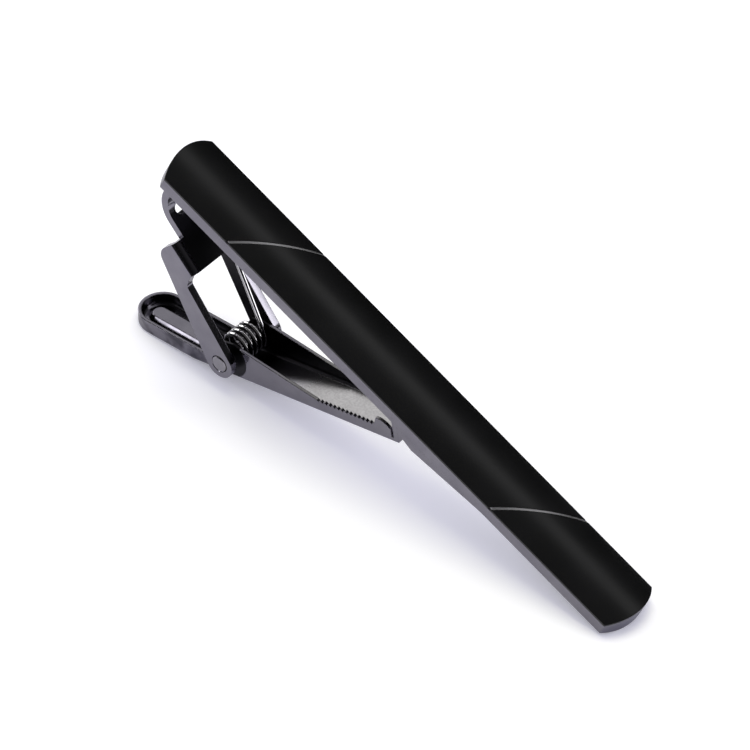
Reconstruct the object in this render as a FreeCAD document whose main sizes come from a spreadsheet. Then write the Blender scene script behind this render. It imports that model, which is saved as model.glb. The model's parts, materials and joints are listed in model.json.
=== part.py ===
# Sprung tie clip: a domed bar, a bent sheet bracket under its left end, and a pressed clamp lever
# that turns on a riveted pin and is held shut by a torsion spring. All sizes are in millimetres.
import FreeCAD
import Part
import PartDesign
import Sketcher
import math
import os

doc = FreeCAD.newDocument("tie_clip")
sheet = doc.addObject("Spreadsheet::Sheet", "Sizes")

DRIVING_SIZES = [
    # Bar: its length runs over the rounded ends, its edge is the height of the straight sides.
    ("bar_length", 60.0),
    ("bar_width", 6.7),
    ("bar_edge", 1.45),
    ("bar_crown", 0.75),
    ("end_radius", 5.7),
    # Black enamel on the front, parted by two slanting cut lines.
    ("enamel_coat", 0.2),
    ("cut_width", 0.36),
    ("cut_slant", 6.6),
    ("left_cut", 12.6),
    ("right_cut_inset", 12.9),
    # Pivot: from the bar's left end, and below the bar's back.
    ("pivot_inset", 14.95),
    ("pivot_drop", 13.05),
    # Bracket: one sheet with a foot, a post, a web and two flanges that run down into ears.
    ("bracket_sheet", 0.75),
    ("bracket_width", 7.1),
    ("strip_shoulder", 1.3),
    ("foot_length", 6.0),
    ("foot_bend", 1.0),
    ("post_inset", 1.3),
    ("post_length", 1.6),
    ("post_bend", 3.2),
    ("web_slope", 22.0),
    ("web_length", 5.3),
    ("neck_length", 1.8),
    ("flange_depth", 2.0),
    ("flange_bend", 0.95),
    ("flange_corner", 1.25),
    ("ear_step", 1.2),
    ("ear_step_reach", 0.65),
    ("ear_notch", 0.6),
    ("ear_radius", 1.5),
    ("slot_length", 3.0),
    ("slot_width", 1.3),
    ("slot_turn", 53.0),
    # Pin, with its ends spread into a countersink in each ear.
    ("pin_diameter", 1.4),
    ("pin_fit", 0.02),
    ("pin_running_gap", 0.05),
    ("rivet_diameter", 1.64),
    ("rivet_depth", 0.2),
    ("rivet_proud", 0.06),
    ("countersink", 1.86),
    # Lever: a tray-shaped tail, whose end is flattened where it lies on the table, and a jaw
    # that rises to the bar. It turns between the ears, and is drawn with its tail level.
    ("ear_gap", 0.5),
    ("lever_wall", 0.32),
    ("lever_floor", 0.5),
    ("lever_edge_round", 0.45),
    ("lever_inner_round", 0.4),
    ("tail_reach", 12.2),
    ("tail_drop", 2.85),
    ("tail_tilt", 4.8),
    ("tail_contact", 9.0),
    ("tail_rim", 1.55),
    ("heel_rim", 1.7),
    ("cheek_foot", 2.4),
    ("cheek_back", 1.45),
    ("cheek_top", 1.75),
    ("cheek_recess", 0.12),
    ("recess_radius", 2.2),
    ("jaw_rise", 8.95),
    ("jaw_offset", 2.15),
    ("jaw_reach", 20.6),
    ("jaw_swell", 0.05),
    ("jaw_wall", 1.4),
    ("jaw_gap", 0.06),
    ("lip_sheet", 0.55),
    ("lip_slit", 0.3),
    ("slit_foot", 0.65),
    ("tab_length", 2.0),
    ("tab_height", 2.2),
    ("tab_toe", 1.5),
    ("tab_rise", 0.35),
    ("tab_round", 2.2),
    ("tooth_start", 10.7),
    ("tooth_pitch", 0.5),
    ("tooth_depth", 0.2),
    # Thumb panel pressed up into the tail's floor.
    ("panel_start", 11.25),
    ("panel_end", 3.7),
    ("panel_margin", 0.93),
    ("panel_height", 0.45),
    ("panel_slope", 0.35),
    # Ramp under the bar, just past the jaw.
    ("ramp_gap", 1.9),
    ("ramp_length", 10.9),
    ("ramp_nose", 1.7),
    ("ramp_lip", 0.75),
    ("ramp_depth", 1.14),
    ("ramp_toe", 0.08),
    ("ramp_width", 6.5),
    # Torsion spring.
    ("wire_diameter", 0.42),
    ("coil_radius", 1.25),
    ("coil_pitch", 0.84),
    ("coil_side_gap", 0.08),
    ("upper_leg_slope", 43.5),
    ("leg_bend", 0.5),
    ("leg_gap", 0.05),
    ("lower_leg_reach", 2.4),
]

# Sizes that follow from the ones above.
DERIVED_SIZES = [
    ("dome_radius", "(bar_width ^ 2 / 4 + bar_crown ^ 2) / (2 * bar_crown)"),
    ("dome_centre", "pivot_drop + bar_edge + bar_crown - dome_radius"),
    ("end_sag", "end_radius - sqrt(end_radius ^ 2 - bar_width ^ 2 / 4)"),
    ("right_cut", "bar_length - right_cut_inset"),
    ("right_reach", "bar_length - pivot_inset"),
    ("pivot_height", "tail_drop * cos(tail_tilt) + tail_contact * sin(tail_tilt)"),
    ("stand_span", "sqrt(right_reach ^ 2 + pivot_drop ^ 2)"),
    ("stand_tilt", "atan(pivot_drop / right_reach) + asin(pivot_height / stand_span)"),
    ("strip_width", "bracket_width - 2 * strip_shoulder"),
    ("lever_width", "bracket_width - 2 * bracket_sheet - 2 * ear_gap"),
    ("jaw_width", "lever_width + 2 * jaw_swell"),
    ("panel_width", "lever_width - 2 * lever_wall - 2 * panel_margin"),
    ("coil_room", "lever_width - 2 * lever_wall - 2 * coil_side_gap - wire_diameter"),
    ("bend_x", "post_inset + post_bend - pivot_inset"),
    ("bend_z", "pivot_drop - post_length"),
    ("web_x", "bend_x - post_bend * sin(web_slope)"),
    ("web_z", "bend_z - post_bend * cos(web_slope)"),
    ("heel_x", "(jaw_offset - tail_drop * cos(jaw_rise)) / sin(jaw_rise)"),
    ("heel_inner_x", "heel_x + lever_floor * (cos(jaw_rise) - 1) / sin(jaw_rise)"),
    ("tab_end", "jaw_reach - lip_sheet - lip_slit"),
    ("wall_end", "tab_end - tab_length"),
    ("closed_angle", "stand_tilt + (tail_tilt + jaw_rise) * 1 deg"),
    ("lip_height", "(pivot_drop - jaw_gap - jaw_reach * sin(closed_angle)) / cos(closed_angle)"),
    ("ramp_start", "jaw_reach * cos(closed_angle) - lip_height * sin(closed_angle) + ramp_gap"),
]

CARRIER = "carrier"
LEVER = "lever"
PATH_STEPS = 12


def fill_sheet():
    row = 0
    for alias, size in DRIVING_SIZES:
        row += 1
        sheet.set(f"A{row}", alias)
        sheet.set(f"B{row}", str(size))
        sheet.setAlias(f"B{row}", alias)
    doc.recompute()
    for alias, formula in DERIVED_SIZES:
        row += 1
        sheet.set(f"A{row}", alias)
        sheet.set(f"B{row}", "=" + formula)
        sheet.setAlias(f"B{row}", alias)
        doc.recompute()


def number(expression):
    """The plain number that an expression on the size sheet gives."""
    found = sheet.evalExpression(expression)
    return float(getattr(found, "Value", found))


def size(alias):
    return number("Sizes." + alias)


def new_body(label):
    body = doc.addObject("PartDesign::Body", label)
    body.Label = label
    return body


def origin_plane(body, role):
    return next(item for item in body.Origin.OriginFeatures if item.Role == role)


def new_sketch(body, label, role, shift=(), turn=None):
    """A sketch on one of the body's origin planes, moved off it or turned by expressions."""
    sketch = body.newObject("Sketcher::SketchObject", label)
    sketch.AttachmentSupport = [(origin_plane(body, role), "")]
    sketch.MapMode = "FlatFace"
    if turn:
        axis, angle = turn
        rotation = FreeCAD.Rotation(FreeCAD.Vector(*axis), number(angle))
        sketch.AttachmentOffset = FreeCAD.Placement(FreeCAD.Vector(), rotation)
        sketch.setExpression("AttachmentOffset.Rotation.Angle", angle)
    for direction, expression in shift:
        sketch.setExpression("AttachmentOffset.Base." + direction, expression)
    doc.recompute()
    return sketch


def constrain(sketch, kind, *items, expression):
    index = sketch.addConstraint(Sketcher.Constraint(kind, *items, number(expression)))
    sketch.setExpression(f"Constraints[{index}]", expression)


def arc_between(start, end, radius, turns_left):
    """The shorter arc from start to end; sketch arcs always run anticlockwise."""
    chord = end - start
    side = FreeCAD.Vector(-chord.y, chord.x, 0).normalize()
    lift = math.sqrt(max(radius ** 2 - (chord.Length / 2) ** 2, 0))
    centre = (start + end) * 0.5 + side * (lift if turns_left else -lift)
    angles = [math.atan2(point.y - centre.y, point.x - centre.x) for point in (start, end)]
    if not turns_left:
        angles.reverse()
    return Part.ArcOfCircle(Part.Circle(centre, FreeCAD.Vector(0, 0, 1), radius), *angles)


def draw_outline(sketch, corners):
    """Closes an outline. A corner is (x, y), with a radius and "left" or "right" if an arc leaves it."""
    points = [FreeCAD.Vector(number(corner[0]), number(corner[1]), 0) for corner in corners]
    edges = []
    for place, corner in enumerate(corners):
        start = points[place]
        end = points[(place + 1) % len(points)]
        if len(corner) == 2:
            index = sketch.addGeometry(Part.LineSegment(start, end))
            edges.append((index, 1, 2))
            continue
        turns_left = corner[3] == "left"
        index = sketch.addGeometry(arc_between(start, end, number(corner[2]), turns_left))
        edges.append((index, 1, 2) if turns_left else (index, 2, 1))
    for place, (index, first, last) in enumerate(edges):
        following, follow_first, _ = edges[(place + 1) % len(edges)]
        sketch.addConstraint(Sketcher.Constraint("Coincident", index, last, following, follow_first))
    for (index, first, _), corner in zip(edges, corners):
        constrain(sketch, "DistanceX", -1, 1, index, first, expression=corner[0])
        constrain(sketch, "DistanceY", -1, 1, index, first, expression=corner[1])
        if len(corner) > 2:
            constrain(sketch, "Radius", index, expression=corner[2])
    doc.recompute()
    return sketch


def round_ended(first, last, half):
    """Corners of a long outline with round ends, lying along x."""
    return [
        (f"{first} + {half}", f"-{half}"),
        (f"{last} - {half}", f"-{half}", half, "left"),
        (last, "0", half, "left"),
        (f"{last} - {half}", half),
        (f"{first} + {half}", half, half, "left"),
        (first, "0", half, "left"),
    ]


def draw_circle(sketch, radius):
    circle = Part.Circle(FreeCAD.Vector(), FreeCAD.Vector(0, 0, 1), number(radius))
    index = sketch.addGeometry(circle)
    sketch.addConstraint(Sketcher.Constraint("Coincident", index, 3, -1, 1))
    constrain(sketch, "Radius", index, expression=radius)
    doc.recompute()
    return sketch


def feature(body, kind, label, profile):
    made = body.newObject("PartDesign::" + kind, label)
    made.Profile = profile
    profile.Visibility = False
    return made


def pad(body, label, profile, length, symmetric=False, reversed_way=False):
    made = feature(body, "Pad", label, profile)
    made.setExpression("Length", length)
    made.SideType = "Symmetric" if symmetric else "One side"
    made.Reversed = reversed_way
    doc.recompute()
    return made


def pocket(body, label, profile, length=None, symmetric=False, reversed_way=False):
    """Cuts to a length, or right through when none is given, and must take material away."""
    before = body.Shape.Volume
    made = feature(body, "Pocket", label, profile)
    if length:
        made.setExpression("Length", length)
    else:
        made.Type = "ThroughAll"
    made.SideType = "Symmetric" if symmetric else "One side"
    made.Reversed = reversed_way
    doc.recompute()
    if body.Shape.Volume > before - 1e-4:
        raise RuntimeError(f"{label} removed nothing")
    return made


def edge_names(shape, test):
    return [f"Edge{place}" for place, edge in enumerate(shape.Edges, start=1) if test(edge)]


def dress(body, kind, label, test, amount):
    """A fillet or chamfer on the edges that pass a test of their place."""
    base = body.Tip
    names = edge_names(base.Shape, test)
    if not names:
        raise RuntimeError(f"{label} found no edge")
    made = body.newObject("PartDesign::" + kind, label)
    made.Base = (base, names)
    made.setExpression("Radius" if kind == "Fillet" else "Size", amount)
    doc.recompute()
    return made


def near(one, other, slack=0.02):
    return abs(one - other) < slack


def bar_outline(sketch, first, last):
    """Front of the bar between two ends: None is a rounded end, a size is the middle of a cut line."""
    half = "Sizes.bar_width / 2"
    corners = []
    if first:
        edge = f"{first} - Sizes.pivot_inset + Sizes.cut_width / 2"
        near_left = f"{edge} - Sizes.cut_slant / 2"
        far_left = f"{edge} + Sizes.cut_slant / 2"
    else:
        near_left = far_left = "Sizes.end_sag - Sizes.pivot_inset"
    if last:
        edge = f"{last} - Sizes.pivot_inset - Sizes.cut_width / 2"
        near_right = f"{edge} - Sizes.cut_slant / 2"
        far_right = f"{edge} + Sizes.cut_slant / 2"
    else:
        near_right = far_right = "Sizes.right_reach - Sizes.end_sag"
    corners.append((near_left, f"-{half}"))
    corners.append((near_right, f"-{half}") + (() if last else ("Sizes.end_radius", "left")))
    corners.append((far_right, half))
    corners.append((far_left, half) + (() if first else ("Sizes.end_radius", "left")))
    return draw_outline(sketch, corners)


def dome_edge(radius):
    """Half width and height of a dome's arc, taken a little past the bar's sides."""
    half = "(Sizes.bar_width / 2 + Sizes.bar_edge / 4)"
    return half, f"Sizes.dome_centre + sqrt({radius} ^ 2 - {half} ^ 2)"


def cut_above_dome(body, radius):
    half, height = dome_edge(radius)
    top = "Sizes.pivot_drop + 2 * (Sizes.bar_edge + Sizes.bar_crown)"
    corners = [(half, height, radius, "left"), (f"-{half}", height), (f"-{half}", top), (half, top)]
    sketch = new_sketch(body, "above_dome_outline", "YZ_Plane")
    draw_outline(sketch, corners)
    pocket(body, "dome", sketch, "4 * Sizes.bar_length", symmetric=True)


def cut_below_dome(body, radius):
    half, height = dome_edge(radius)
    base = "Sizes.pivot_drop - Sizes.bar_edge"
    corners = [(half, height, radius, "left"), (f"-{half}", height), (f"-{half}", base), (half, base)]
    sketch = new_sketch(body, "below_dome_outline", "YZ_Plane")
    draw_outline(sketch, corners)
    pocket(body, "underside", sketch, "4 * Sizes.bar_length", symmetric=True)


def make_bar_piece(label, first=None, last=None, enamel=False):
    body = new_body(label)
    sketch = new_sketch(body, "front_outline", "XY_Plane", [("z", "Sizes.pivot_drop")])
    bar_outline(sketch, first, last)
    pad(body, "blank", sketch, "Sizes.bar_edge + Sizes.bar_crown")
    metal = "(Sizes.dome_radius - Sizes.enamel_coat)"
    if enamel:
        cut_above_dome(body, "Sizes.dome_radius")
        cut_below_dome(body, metal)
    else:
        cut_above_dome(body, metal)
    return body


def make_ramp():
    body = new_body("jaw_ramp")
    start = "Sizes.ramp_start"
    back = "Sizes.pivot_drop"
    corners = [
        (start, back),
        (start, f"{back} - Sizes.ramp_lip"),
        (f"{start} + Sizes.ramp_nose", f"{back} - Sizes.ramp_depth"),
        (f"{start} + Sizes.ramp_length", f"{back} - Sizes.ramp_toe"),
        (f"{start} + Sizes.ramp_length", back),
    ]
    sketch = new_sketch(body, "ramp_outline", "XZ_Plane")
    draw_outline(sketch, corners)
    pad(body, "ramp", sketch, "Sizes.ramp_width", symmetric=True)
    return body


def web_point(along, height):
    """A place on the bracket's web: along it from the post's bend, and above its lower face."""
    x = f"Sizes.web_x + ({along}) * cos(Sizes.web_slope) + ({height}) * sin(Sizes.web_slope)"
    z = f"Sizes.web_z - ({along}) * sin(Sizes.web_slope) + ({height}) * cos(Sizes.web_slope)"
    return x, z


def tangent_from(point, side):
    """Where a line from a point meets the rounded end of an ear, on its upper (-1) or lower (1) side."""
    x, z = point
    angle = f"(atan2({z}; {x}) + ({side}) * acos(Sizes.ear_radius / sqrt(({x}) ^ 2 + ({z}) ^ 2)))"
    return f"Sizes.ear_radius * cos({angle})", f"Sizes.ear_radius * sin({angle})"


def make_bracket():
    body = new_body("bracket")
    left = "Sizes.post_inset - Sizes.pivot_inset"
    inner_left = f"{left} + Sizes.bracket_sheet"
    top = "Sizes.pivot_drop"
    under = f"{top} - Sizes.bracket_sheet"
    foot_end = f"{left} + Sizes.foot_length"
    inner_bend = "Sizes.foot_bend - Sizes.bracket_sheet"
    inside = "Sizes.post_bend - Sizes.bracket_sheet"
    strip = [
        (foot_end, top),
        (f"{left} + Sizes.foot_bend", top, "Sizes.foot_bend", "left"),
        (left, f"{top} - Sizes.foot_bend"),
        (left, "Sizes.bend_z", "Sizes.post_bend", "left"),
        web_point("0", "0"),
        web_point("Sizes.web_length", "0"),
        web_point("Sizes.web_length", "Sizes.bracket_sheet"),
        web_point("0", "Sizes.bracket_sheet") + (inside, "right"),
        (inner_left, "Sizes.bend_z"),
        (inner_left, f"{under} - ({inner_bend})", inner_bend, "right"),
        (f"{inner_left} + {inner_bend}", under),
        (foot_end, under),
    ]
    sketch = new_sketch(body, "strip_outline", "XZ_Plane")
    draw_outline(sketch, strip)
    pad(body, "strip", sketch, "Sizes.strip_width", symmetric=True)

    step = web_point("Sizes.web_length + Sizes.ear_step_reach", "-Sizes.ear_step")
    corner = web_point("Sizes.neck_length", "-Sizes.flange_depth")
    upper = tangent_from(step, "-1")
    lower = tangent_from(corner, "1")
    ear_tip = ("Sizes.ear_radius * cos(35)", "-Sizes.ear_radius * sin(35)")
    flange = [
        web_point("Sizes.neck_length", "Sizes.bracket_sheet"),
        web_point("Sizes.web_length", "Sizes.bracket_sheet"),
        web_point("Sizes.web_length", "0"),
        step,
        upper + ("Sizes.ear_radius", "right"),
        ear_tip + ("Sizes.ear_radius", "right"),
        lower,
        corner,
    ]
    sketch = new_sketch(body, "flange_outline", "XZ_Plane")
    draw_outline(sketch, flange)
    pad(body, "flanges", sketch, "Sizes.bracket_width", symmetric=True)

    channel = [
        web_point("-Sizes.post_bend", "0"),
        web_point("Sizes.web_length + Sizes.pivot_inset", "0"),
        web_point("Sizes.web_length + Sizes.pivot_inset", "-Sizes.pivot_drop"),
        web_point("-Sizes.post_bend", "-Sizes.pivot_drop"),
    ]
    sketch = new_sketch(body, "channel_outline", "XZ_Plane")
    draw_outline(sketch, channel)
    pocket(body, "channel", sketch, "Sizes.bracket_width - 2 * Sizes.bracket_sheet", symmetric=True)

    sketch = new_sketch(body, "pin_hole_outline", "XZ_Plane")
    draw_circle(sketch, "Sizes.pin_diameter / 2 + Sizes.pin_fit")
    pocket(body, "pin_holes", sketch, "2 * Sizes.bracket_width", symmetric=True)

    ends = [FreeCAD.Vector(number(x), 0, number(z)) for x, z in flange[:2]]
    bend_start, bend_end = ends
    half = size("bracket_width") / 2
    sketch_corner = FreeCAD.Vector(number(corner[0]), 0, number(corner[1]))
    sketch_step = FreeCAD.Vector(number(step[0]), 0, number(step[1]))

    def flat(point):
        return FreeCAD.Vector(point.x, 0, point.z)

    def on_outer_bend(edge):
        middle = edge.CenterOfMass
        if not near(abs(middle.y), half):
            return False
        return near(flat(middle).distanceToPoint((bend_start + bend_end) * 0.5), 0)

    def on_flange_corner(edge):
        middle = edge.CenterOfMass
        return near(flat(middle).distanceToPoint(sketch_corner), 0) and near(edge.BoundBox.XLength, 0)

    def on_ear_notch(edge):
        middle = edge.CenterOfMass
        return near(flat(middle).distanceToPoint(sketch_step), 0) and near(edge.BoundBox.XLength, 0)

    hole = size("pin_diameter") / 2 + size("pin_fit")

    def on_hole_rim(edge):
        curve = edge.Curve
        return isinstance(curve, Part.Circle) and near(curve.Radius, hole) and near(abs(curve.Center.y), half)

    dress(body, "Fillet", "outer_bends", on_outer_bend, "Sizes.flange_bend")
    dress(body, "Fillet", "flange_corners", on_flange_corner, "Sizes.flange_corner")
    dress(body, "Fillet", "ear_notches", on_ear_notch, "Sizes.ear_notch")
    sink = "(Sizes.countersink - Sizes.pin_diameter) / 2 - Sizes.pin_fit"
    dress(body, "Chamfer", "countersinks", on_hole_rim, sink)

    turn = ((0, 1, 0), "90 - Sizes.slot_turn")
    shift = [("x", "Sizes.bend_x"), ("z", "Sizes.bend_z")]
    sketch = new_sketch(body, "slot_outline", "XY_Plane", shift, turn)
    reach = "Sizes.slot_length / 2"
    lengthways = round_ended(f"-{reach}", reach, "Sizes.slot_width / 2")
    crossways = [(f"-({y})", x, *bend) for x, y, *bend in lengthways]
    draw_outline(sketch, crossways)
    pocket(body, "slot", sketch, "Sizes.post_bend + Sizes.bracket_sheet")
    return body


def make_pin():
    body = new_body("pivot_pin")
    half = "Sizes.bracket_width / 2"
    shaft = "Sizes.pin_diameter / 2"
    rivet = "Sizes.rivet_diameter / 2"
    end = f"{half} + Sizes.rivet_proud"
    neck = f"{half} - Sizes.rivet_depth"
    corners = [
        (f"-({end})", "0"),
        (end, "0"),
        (end, shaft),
        (half, rivet),
        (neck, shaft),
        (f"-({neck})", shaft),
        (f"-{half}", rivet),
        (f"-({end})", shaft),
    ]
    sketch = new_sketch(body, "pin_outline", "YZ_Plane")
    draw_outline(sketch, corners)
    turned = feature(body, "Revolution", "turned_pin", sketch)
    turned.ReferenceAxis = (sketch, ["H_Axis"])
    turned.Angle = 360
    doc.recompute()
    return body


def jaw_point(along, height):
    """A place on the jaw: along it from the pivot, and square to it."""
    x = f"({along}) * cos(Sizes.jaw_rise) - ({height}) * sin(Sizes.jaw_rise)"
    z = f"({along}) * sin(Sizes.jaw_rise) + ({height}) * cos(Sizes.jaw_rise)"
    return x, z


def bar_back(along):
    """On the jaw's square line at a place, the point that lies the jaw gap under the closed bar's back."""
    drop = f"({along}) * sin(Sizes.closed_angle)"
    height = f"(Sizes.pivot_drop - Sizes.jaw_gap - {drop}) / cos(Sizes.closed_angle)"
    return jaw_point(along, height)


def make_lever():
    body = new_body("clamp_lever")
    half = "Sizes.lever_width / 2"
    base = "-Sizes.tail_drop"
    tail_middle = f"-(Sizes.tail_reach - {half})"
    cheek_front = "Sizes.recess_radius"
    past_jaw = "Sizes.jaw_reach + Sizes.lip_sheet"
    plan = [
        (tail_middle, f"-{half}"),
        (cheek_front, f"-{half}"),
        (past_jaw, "-Sizes.jaw_width / 2"),
        (past_jaw, "Sizes.jaw_width / 2"),
        (cheek_front, half),
        (tail_middle, half, half, "left"),
        ("-Sizes.tail_reach", "0", half, "left"),
    ]
    sketch = new_sketch(body, "lever_plan", "XY_Plane", [("z", base)])
    draw_outline(sketch, plan)
    pad(body, "blank", sketch, "Sizes.tail_drop + Sizes.pivot_drop")

    lip_back = "Sizes.jaw_reach - Sizes.lip_sheet"
    high = "2 * Sizes.pivot_drop"
    row_top = "Sizes.jaw_wall - Sizes.jaw_offset"
    tab_top = "Sizes.tab_height - Sizes.jaw_offset"
    slit_foot = "Sizes.slit_foot - Sizes.jaw_offset"
    rims = [
        (f"-Sizes.tail_reach - {half}", high),
        (f"-Sizes.tail_reach - {half}", f"{base} + Sizes.tail_rim"),
        ("-Sizes.cheek_foot", f"{base} + Sizes.heel_rim"),
        ("-Sizes.cheek_back", "Sizes.cheek_back / 5"),
        ("-Sizes.cheek_back / 2", "Sizes.cheek_back"),
        ("Sizes.cheek_back / 3", "Sizes.cheek_top"),
        jaw_point("Sizes.tooth_start", row_top),
        jaw_point("Sizes.wall_end", row_top),
        jaw_point("Sizes.wall_end + Sizes.tab_rise", tab_top) + ("Sizes.tab_round", "right"),
        jaw_point("Sizes.tab_end", "Sizes.tab_toe - Sizes.jaw_offset"),
        jaw_point("Sizes.tab_end", slit_foot),
        jaw_point(lip_back, slit_foot),
        bar_back(lip_back),
        bar_back("Sizes.jaw_reach"),
        bar_back(past_jaw),
        (f"{past_jaw} + Sizes.jaw_reach / 2", high),
    ]
    sketch = new_sketch(body, "rim_outline", "XZ_Plane")
    draw_outline(sketch, rims)
    pocket(body, "rims", sketch, "4 * Sizes.lever_width", symmetric=True)

    below = [
        ("Sizes.heel_x", base),
        jaw_point("Sizes.jaw_reach", "-Sizes.jaw_offset"),
        jaw_point("Sizes.jaw_reach", "Sizes.pivot_drop"),
        ("2 * Sizes.jaw_reach", "Sizes.pivot_drop"),
        ("2 * Sizes.jaw_reach", f"2 * {base}"),
        ("Sizes.heel_x", f"2 * {base}"),
    ]
    sketch = new_sketch(body, "jaw_underside_outline", "XZ_Plane")
    draw_outline(sketch, below)
    pocket(body, "jaw_underside", sketch, "4 * Sizes.lever_width", symmetric=True)

    rise = math.radians(size("jaw_rise"))
    tail_base = -size("tail_drop")
    heel = size("heel_x")
    jaw_base = -size("jaw_offset")

    def square_height(point):
        return point.z * math.cos(rise) - point.x * math.sin(rise)

    def on_lower_rim(edge):
        if near(edge.BoundBox.XLength, 0) and near(edge.CenterOfMass.x, heel):
            return False
        ends = [vertex.Point for vertex in edge.Vertexes]
        on_tail = all(near(point.z, tail_base) for point in ends)
        on_jaw = all(near(square_height(point), jaw_base) for point in ends)
        return on_tail or on_jaw

    dress(body, "Fillet", "lower_edges", on_lower_rim, "Sizes.lever_edge_round")

    past_tail = f"(Sizes.tail_reach + {half})"
    table = [
        ("-Sizes.tail_contact", base),
        (f"-{past_tail}", f"{base} + ({past_tail} - Sizes.tail_contact) * tan(Sizes.tail_tilt)"),
        (f"-{past_tail}", f"2 * {base}"),
        ("-Sizes.tail_contact", f"2 * {base}"),
    ]
    sketch = new_sketch(body, "table_outline", "XZ_Plane")
    draw_outline(sketch, table)
    pocket(body, "tail_flat", sketch, "4 * Sizes.lever_width", symmetric=True)

    inner = f"({half} - Sizes.lever_wall)"
    tray = [
        (tail_middle, f"-{inner}"),
        ("Sizes.heel_inner_x", f"-{inner}"),
        ("Sizes.heel_inner_x", inner),
        (tail_middle, inner, inner, "left"),
        (f"{tail_middle} - {inner}", "0", inner, "left"),
    ]
    sketch = new_sketch(body, "tray_outline", "XY_Plane", [("z", f"{base} + Sizes.lever_floor")])
    draw_outline(sketch, tray)
    pocket(body, "tray", sketch, reversed_way=True)

    floor = "Sizes.lever_floor - Sizes.jaw_offset"
    start = f"(Sizes.heel_inner_x * cos(Sizes.jaw_rise) + ({base} + Sizes.lever_floor) * sin(Sizes.jaw_rise))"
    jaw_inner = "(Sizes.jaw_width / 2 - Sizes.lever_wall)"
    trough = [
        (start, f"-{inner}"),
        (cheek_front, f"-{inner}"),
        (lip_back, f"-{jaw_inner}"),
        (lip_back, jaw_inner),
        (cheek_front, inner),
        (start, inner),
    ]
    shift = [("x", f"-({floor}) * sin(Sizes.jaw_rise)"), ("z", f"({floor}) * cos(Sizes.jaw_rise)")]
    sketch = new_sketch(body, "trough_outline", "XY_Plane", shift, ((0, 1, 0), "-Sizes.jaw_rise"))
    draw_outline(sketch, trough)
    pocket(body, "trough", sketch, reversed_way=True)

    tail_floor = tail_base + size("lever_floor")
    jaw_floor = jaw_base + size("lever_floor")
    valley = size("heel_inner_x")
    lip_line = number(lip_back)

    def on_inner_corner(edge):
        middle = edge.CenterOfMass
        along = middle.x * math.cos(rise) + middle.z * math.sin(rise)
        if near(edge.BoundBox.XLength, 0) and (near(middle.x, valley) or near(along, lip_line)):
            return False
        ends = [vertex.Point for vertex in edge.Vertexes]
        on_tail = all(near(point.z, tail_floor) for point in ends)
        on_jaw = all(near(square_height(point), jaw_floor) for point in ends)
        return on_tail or on_jaw

    dress(body, "Fillet", "inner_corners", on_inner_corner, "Sizes.lever_inner_round")

    for side, offset, flipped in (("near", half, False), ("far", f"-{half}", True)):
        sketch = new_sketch(body, f"{side}_recess_outline", "XZ_Plane", [("z", offset)])
        draw_circle(sketch, "Sizes.recess_radius")
        pocket(body, f"{side}_recess", sketch, "Sizes.cheek_recess", reversed_way=flipped)

    sketch = new_sketch(body, "bearing_outline", "XZ_Plane")
    draw_circle(sketch, "Sizes.pin_diameter / 2 + Sizes.pin_running_gap")
    pocket(body, "bearings", sketch, "2 * Sizes.lever_width", symmetric=True)

    for label, inset, height, way in (
        ("panel_top", "0", f"{base} + Sizes.lever_floor", "pad"),
        ("panel_hollow", "Sizes.panel_height", base, "pocket"),
    ):
        first = f"{inset} - Sizes.panel_start"
        last = f"-Sizes.panel_end - {inset}"
        outline = round_ended(first, last, f"(Sizes.panel_width / 2 - {inset})")
        sketch = new_sketch(body, f"{label}_outline", "XY_Plane", [("z", height)])
        draw_outline(sketch, outline)
        if way == "pad":
            pad(body, label, sketch, "Sizes.panel_height")
        else:
            pocket(body, label, sketch, "Sizes.panel_height", reversed_way=True)

    panel_top = tail_floor + size("panel_height")

    def on_panel_rim(edge):
        return all(near(vertex.Point.z, panel_top) for vertex in edge.Vertexes)

    dress(body, "Chamfer", "panel_edges", on_panel_rim, "Sizes.panel_slope")

    first_tooth = jaw_point("Sizes.tooth_start + Sizes.tooth_pitch / 2", row_top)
    shift = [("x", first_tooth[0]), ("y", first_tooth[1])]
    sketch = new_sketch(body, "tooth_outline", "XZ_Plane", shift, ((0, 0, 1), "Sizes.jaw_rise"))
    tooth = [
        ("-Sizes.tooth_pitch / 2", "Sizes.tooth_depth / 4"),
        ("0", "-Sizes.tooth_depth"),
        ("Sizes.tooth_pitch / 2", "Sizes.tooth_depth / 4"),
    ]
    draw_outline(sketch, tooth)
    first = pocket(body, "first_tooth", sketch, "2 * Sizes.lever_width", symmetric=True)
    teeth = int((size("wall_end") - size("tooth_start")) / size("tooth_pitch"))
    row = body.newObject("PartDesign::LinearPattern", "teeth")
    row.Originals = [first]
    row.Direction = (sketch, ["H_Axis"])
    row.Occurrences = teeth
    row.setExpression("Length", f"Sizes.tooth_pitch * {teeth - 1}")
    body.Tip = row
    doc.recompute()
    return body


def biarc_points(start, start_way, end, end_way):
    """Two arcs that join two places smoothly, each as its first, middle and last point."""
    span = end - start
    ways = start_way + end_way
    spare = 4 - ways.dot(ways)
    along = span.dot(ways)
    if spare < 1e-9:
        reach = span.dot(span) / (2 * along)
    else:
        reach = (math.sqrt(along ** 2 + spare * span.dot(span)) - along) / spare
    first_turn = start + start_way * reach
    second_turn = end - end_way * reach
    joint = (first_turn + second_turn) * 0.5
    return [arc_points(start, first_turn, joint), arc_points(joint, second_turn, end)]


def arc_points(start, turn, end):
    """The arc inside the corner at turn, whose two sides are equally long."""
    middle = (start + end) * 0.5
    half = (end - start).Length / 2
    rise = (turn - middle).Length
    radius = (turn - start).Length * half / rise
    bulge = radius - math.sqrt(radius ** 2 - half ** 2)
    return start, middle + (turn - middle) * (bulge / rise), end


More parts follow.
